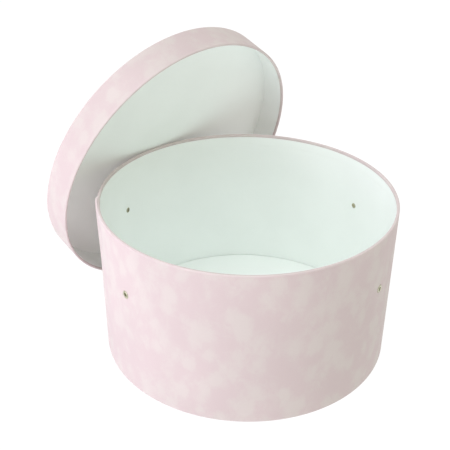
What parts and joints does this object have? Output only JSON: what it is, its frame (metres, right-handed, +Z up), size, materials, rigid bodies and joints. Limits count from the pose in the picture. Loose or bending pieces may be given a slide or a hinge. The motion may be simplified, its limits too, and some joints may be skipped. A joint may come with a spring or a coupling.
{
  "type": "round hat box",
  "caption": "Round rigid cardboard hat box with eyelets in its wall for a carrying cord and a lift-off lid leaning on its rim.",
  "frame": {"origin": "centre of the box's underside, on the surface it stands on", "axes": "+Z up along the box's axis, out of its open top; +X through the middle of the right-hand pair of eyelets, so the pair lies 33.8 degrees either side of it; the lid stands behind and to the left, at about 133 degrees from +X towards +Y"},
  "size_m": [0.4561, 0.4899, 0.3847],
  "materials": {
    "greyboard": "matt grey board",
    "white_card": "matt white card",
    "kraft_tape": "gummed kraft paper tape",
    "pink_suede_paper": "suede-effect paper, cloudy pale pink and cream, matt",
    "pink_paper": "matt pale pink paper",
    "mint_lining_paper": "smooth mint-white paper, satin",
    "eyelet_brass": "pale antique brass"
  },
  "bodies": {
    "box": {"wall_board": "greyboard", "wall_seam_tape": "kraft_tape", "base_board": "greyboard", "base_binding_tape": "kraft_tape", "wall_cover": "pink_suede_paper", "underside_paper": "pink_paper", "wall_lining": "mint_lining_paper", "floor_card": "white_card", "floor_lining": "mint_lining_paper", "eyelet_back_right": "eyelet_brass", "eyelet_front_right": "eyelet_brass", "eyelet_back_left": "eyelet_brass", "eyelet_front_left": "eyelet_brass"},
    "lid": {"lid_top_board": "greyboard", "lid_skirt_board": "greyboard", "lid_skirt_seam_tape": "kraft_tape", "lid_binding_tape": "kraft_tape", "lid_skirt_cover": "pink_suede_paper", "lid_top_cover": "pink_suede_paper", "lid_top_lining": "mint_lining_paper", "lid_skirt_lining": "mint_lining_paper"}
  },
  "joints": [
    {"name": "lid_lift", "type": "slide", "parent": "box", "child": "lid", "axis": [0, 0, 1], "range_m": [0, 0.45]}
  ]
}
